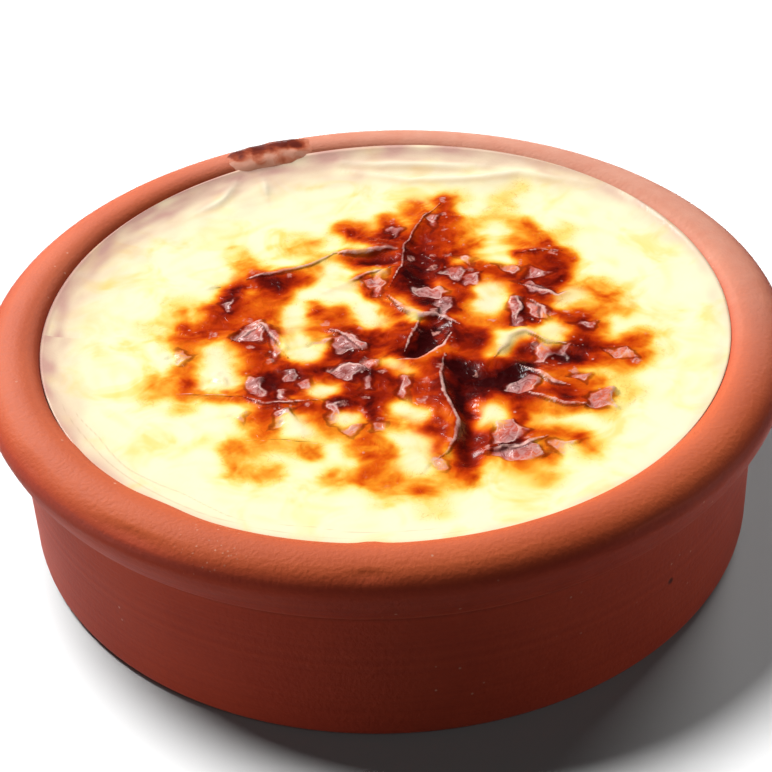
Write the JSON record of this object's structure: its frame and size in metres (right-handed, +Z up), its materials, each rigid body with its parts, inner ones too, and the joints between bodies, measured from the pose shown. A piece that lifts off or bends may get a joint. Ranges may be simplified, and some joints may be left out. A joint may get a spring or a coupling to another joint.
{
  "type": "baked rice pudding in a clay dish",
  "caption": "Oven-baked rice pudding with a wrinkled, scorched milk skin, filling a shallow round terracotta dish with a thick rolled rim.",
  "frame": {"origin": "on the table, under the middle of the dish's flat base", "axes": "+Z up along the dish's axis; -Y is the side that the picture shows in front, +X is to its right"},
  "size_m": [0.13, 0.13, 0.0367],
  "materials": {
    "terracotta": "unglazed, matt, fine grain with throwing lines",
    "milk_skin": "satin baked milk skin, cream with caramel and dark brown scorch marks",
    "scorched_milk": "thin baked-on milk, brown and glossy"
  },
  "bodies": {
    "root": {"clay_dish": "terracotta", "rice_pudding": "milk_skin", "rim_spill": "scorched_milk"}
  },
  "joints": []
}
